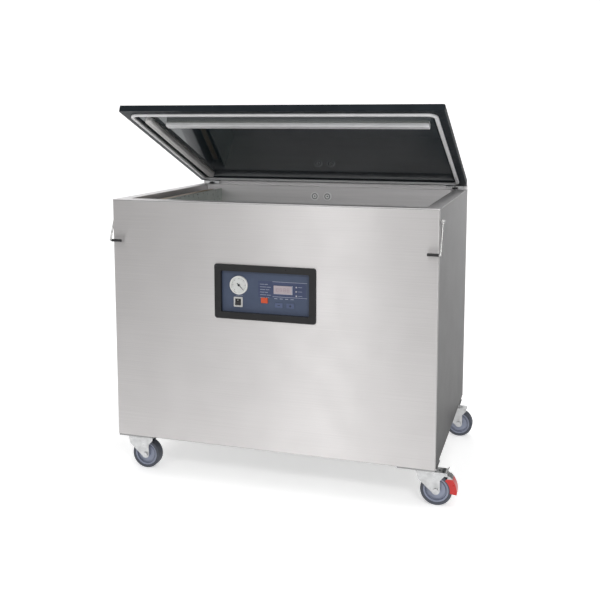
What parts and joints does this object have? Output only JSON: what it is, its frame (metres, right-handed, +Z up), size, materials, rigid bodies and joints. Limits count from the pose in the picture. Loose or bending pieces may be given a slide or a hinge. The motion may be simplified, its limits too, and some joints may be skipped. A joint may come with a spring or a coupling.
{
  "type": "vacuum packing machine",
  "caption": "Floor-standing chamber vacuum packing machine on castors, with a hinged smoked lid, a rectangular chamber, sealing bars, hold-down levers and a front control panel.",
  "frame": {"origin": "on the floor, in the middle of the overall width and depth", "axes": "+X to the operator's right, +Y away from the operator, +Z up"},
  "size_m": [1.204, 0.799, 1.2445],
  "materials": {
    "stainless_front": "brushed",
    "stainless_side": "brushed",
    "stainless_rear": "brushed",
    "frame_steel": "satin",
    "tray_steel": "zinc plated",
    "chamber_steel": "brushed",
    "port_steel": "polished",
    "fastener_steel": "plated",
    "gland_plastic": "matte",
    "cylinder_aluminium": "anodised",
    "bar_aluminium": "satin",
    "tape": "woven",
    "shield": "satin",
    "lid_frame": "gloss",
    "lid_glass": "smoked gloss",
    "gasket": "silicone",
    "pressure_silicone": "silicone",
    "hinge_steel": "satin",
    "pin_steel": "ground",
    "spring_tube": "gloss",
    "spring_rod": "polished",
    "lever_steel": "polished",
    "grip": "matte",
    "bezel": "satin",
    "fascia": "printed film",
    "gauge_case": "gloss",
    "gauge_glass": "clear",
    "needle": "matte",
    "display": "tinted window",
    "lamp": "clear",
    "rocker_frame": "satin",
    "rocker": "satin",
    "stop_key": "satin",
    "board": "resist",
    "pump_iron": "painted",
    "motor_paint": "painted",
    "filter_paint": "painted",
    "hose": "reinforced",
    "valve_brass": "satin",
    "transformer": "laminated",
    "castor_steel": "zinc plated",
    "castor_core": "moulded",
    "castor_tread": "matte",
    "pedal": "moulded"
  },
  "bodies": {
    "cabinet": {"base_frame": "frame_steel", "bottom_tray": "tray_steel", "front_panel": "stainless_front", "left_panel": "stainless_side", "right_panel": "stainless_side", "rear_panel": "stainless_rear", "fasteners": "fastener_steel", "vacuum_chamber": "chamber_steel", "chamber_ports": "port_steel", "lift_cylinders": "cylinder_aluminium", "seal_bar_shields": "shield", "hinge_brackets": "hinge_steel", "hinge_pins": "pin_steel", "lever_pivots": "lever_steel", "control_bezel": "bezel", "control_fascia": "fascia", "control_board": "board", "gauge_case": "gauge_case", "gauge_glass": "gauge_glass", "display_window": "display", "indicator_leds": "lamp", "rocker_frame": "rocker_frame", "cable_gland": "gland_plastic", "vacuum_pump": "pump_iron", "pump_motor": "motor_paint", "exhaust_filter": "filter_paint", "vacuum_hose": "hose", "solenoid_valves": "valve_brass", "seal_transformer": "transformer", "castor_plates": "castor_steel"},
    "lid": {"lid_frame": "lid_frame", "lid_glass": "lid_glass", "lid_gasket": "gasket", "pressure_bars": "pressure_silicone", "hinge_leaves": "hinge_steel"},
    "spring_tubes": {"gas_spring_tubes": "spring_tube"},
    "spring_rods": {"gas_spring_rods": "spring_rod"},
    "sealing_bars": {"seal_bars": "bar_aluminium", "seal_tapes": "tape"},
    "left_hold_down": {"left_lever": "lever_steel", "left_lever_grip": "grip"},
    "right_hold_down": {"right_lever": "lever_steel", "right_lever_grip": "grip"},
    "rocker": {"power_rocker": "rocker"},
    "stop_button": {"stop_key": "stop_key"},
    "needle": {"gauge_needle": "needle"},
    "fork_front_left": {"castor_fork_front_left": "castor_steel"},
    "wheel_front_left": {"castor_hub_front_left": "castor_core", "castor_tyre_front_left": "castor_tread"},
    "fork_front_right": {"castor_fork_front_right": "castor_steel"},
    "wheel_front_right": {"castor_hub_front_right": "castor_core", "castor_tyre_front_right": "castor_tread"},
    "pedal_front_right": {"brake_pedal_front_right": "pedal"},
    "fork_rear_left": {"castor_fork_rear_left": "castor_steel"},
    "wheel_rear_left": {"castor_hub_rear_left": "castor_core", "castor_tyre_rear_left": "castor_tread"},
    "pedal_rear_left": {"brake_pedal_rear_left": "pedal"},
    "fork_rear_right": {"castor_fork_rear_right": "castor_steel"},
    "wheel_rear_right": {"castor_hub_rear_right": "castor_core", "castor_tyre_rear_right": "castor_tread"}
  },
  "joints": [
    {"name": "lid_hinge", "type": "hinge", "parent": "cabinet", "child": "lid", "pos_m": [0, 0.3635, 0.9453], "axis": [-1, 0, 0], "range_deg": [-22, 0], "stiffness_Nm_per_rad": 60, "springref_deg": 97.4},
    {"name": "spring_swing", "type": "hinge", "parent": "cabinet", "child": "spring_tubes", "pos_m": [0, 0.3405, 0.772], "axis": [1, 0, 0], "range_deg": [-8.39, 0]},
    {"name": "spring_stroke", "type": "slide", "parent": "spring_tubes", "child": "spring_rods", "axis": [0, -0.1468, 0.9892], "range_m": [-0.01452, 0]},
    {"name": "sealing_lift", "type": "slide", "parent": "cabinet", "child": "sealing_bars", "axis": [0, 0, 1], "range_m": [0, 0.008]},
    {"name": "left_lever_swing", "type": "hinge", "parent": "cabinet", "child": "left_hold_down", "pos_m": [-0.5454, -0.3525, 0.897], "axis": [-1, 0, 0], "range_deg": [0, 197]},
    {"name": "right_lever_swing", "type": "hinge", "parent": "cabinet", "child": "right_hold_down", "pos_m": [0.5454, -0.3525, 0.897], "axis": [-1, 0, 0], "range_deg": [0, 197]},
    {"name": "power_switch", "type": "hinge", "parent": "cabinet", "child": "rocker", "pos_m": [-0.1005, -0.3745, 0.617], "axis": [1, 0, 0], "range_deg": [0, 18]},
    {"name": "stop_push", "type": "slide", "parent": "cabinet", "child": "stop_button", "axis": [0, 1, 0], "range_m": [0, 0.002], "stiffness_N_per_m": 300},
    {"name": "gauge_turn", "type": "hinge", "parent": "cabinet", "child": "needle", "pos_m": [-0.0975, -0.3805, 0.672], "axis": [0, -1, 0], "range_deg": [0, 270], "stiffness_Nm_per_rad": 0.0005},
    {"name": "swivel_front_left", "type": "hinge", "parent": "cabinet", "child": "fork_front_left", "pos_m": [-0.5, -0.3195, 0.127], "axis": [0, 0, 1], "continuous": true},
    {"name": "roll_front_left", "type": "hinge", "parent": "fork_front_left", "child": "wheel_front_left", "pos_m": [-0.463, -0.3195, 0.05], "axis": [0, 1, 0], "continuous": true},
    {"name": "swivel_front_right", "type": "hinge", "parent": "cabinet", "child": "fork_front_right", "pos_m": [0.5, -0.3195, 0.127], "axis": [0, 0, 1], "continuous": true},
    {"name": "roll_front_right", "type": "hinge", "parent": "fork_front_right", "child": "wheel_front_right", "pos_m": [0.537, -0.3195, 0.05], "axis": [0, 1, 0], "continuous": true},
    {"name": "brake_front_right", "type": "hinge", "parent": "fork_front_right", "child": "pedal_front_right", "pos_m": [0.566, -0.3195, 0.103], "axis": [0, -1, 0], "range_deg": [0, 18]},
    {"name": "swivel_rear_left", "type": "hinge", "parent": "cabinet", "child": "fork_rear_left", "pos_m": [-0.5, 0.2965, 0.127], "axis": [0, 0, 1], "continuous": true},
    {"name": "roll_rear_left", "type": "hinge", "parent": "fork_rear_left", "child": "wheel_rear_left", "pos_m": [-0.537, 0.2965, 0.05], "axis": [0, 1, 0], "continuous": true},
    {"name": "brake_rear_left", "type": "hinge", "parent": "fork_rear_left", "child": "pedal_rear_left", "pos_m": [-0.566, 0.2965, 0.103], "axis": [0, 1, 0], "range_deg": [0, 18]},
    {"name": "swivel_rear_right", "type": "hinge", "parent": "cabinet", "child": "fork_rear_right", "pos_m": [0.5, 0.2965, 0.127], "axis": [0, 0, 1], "continuous": true},
    {"name": "roll_rear_right", "type": "hinge", "parent": "fork_rear_right", "child": "wheel_rear_right", "pos_m": [0.537, 0.2965, 0.05], "axis": [0, 1, 0], "continuous": true}
  ],
  "couplings": [
    {"joint": "spring_swing", "follows": "lid_hinge", "ratio": 0.37399},
    {"joint": "spring_stroke", "follows": "lid_hinge", "m_per_rad": 0.037078}
  ]
}
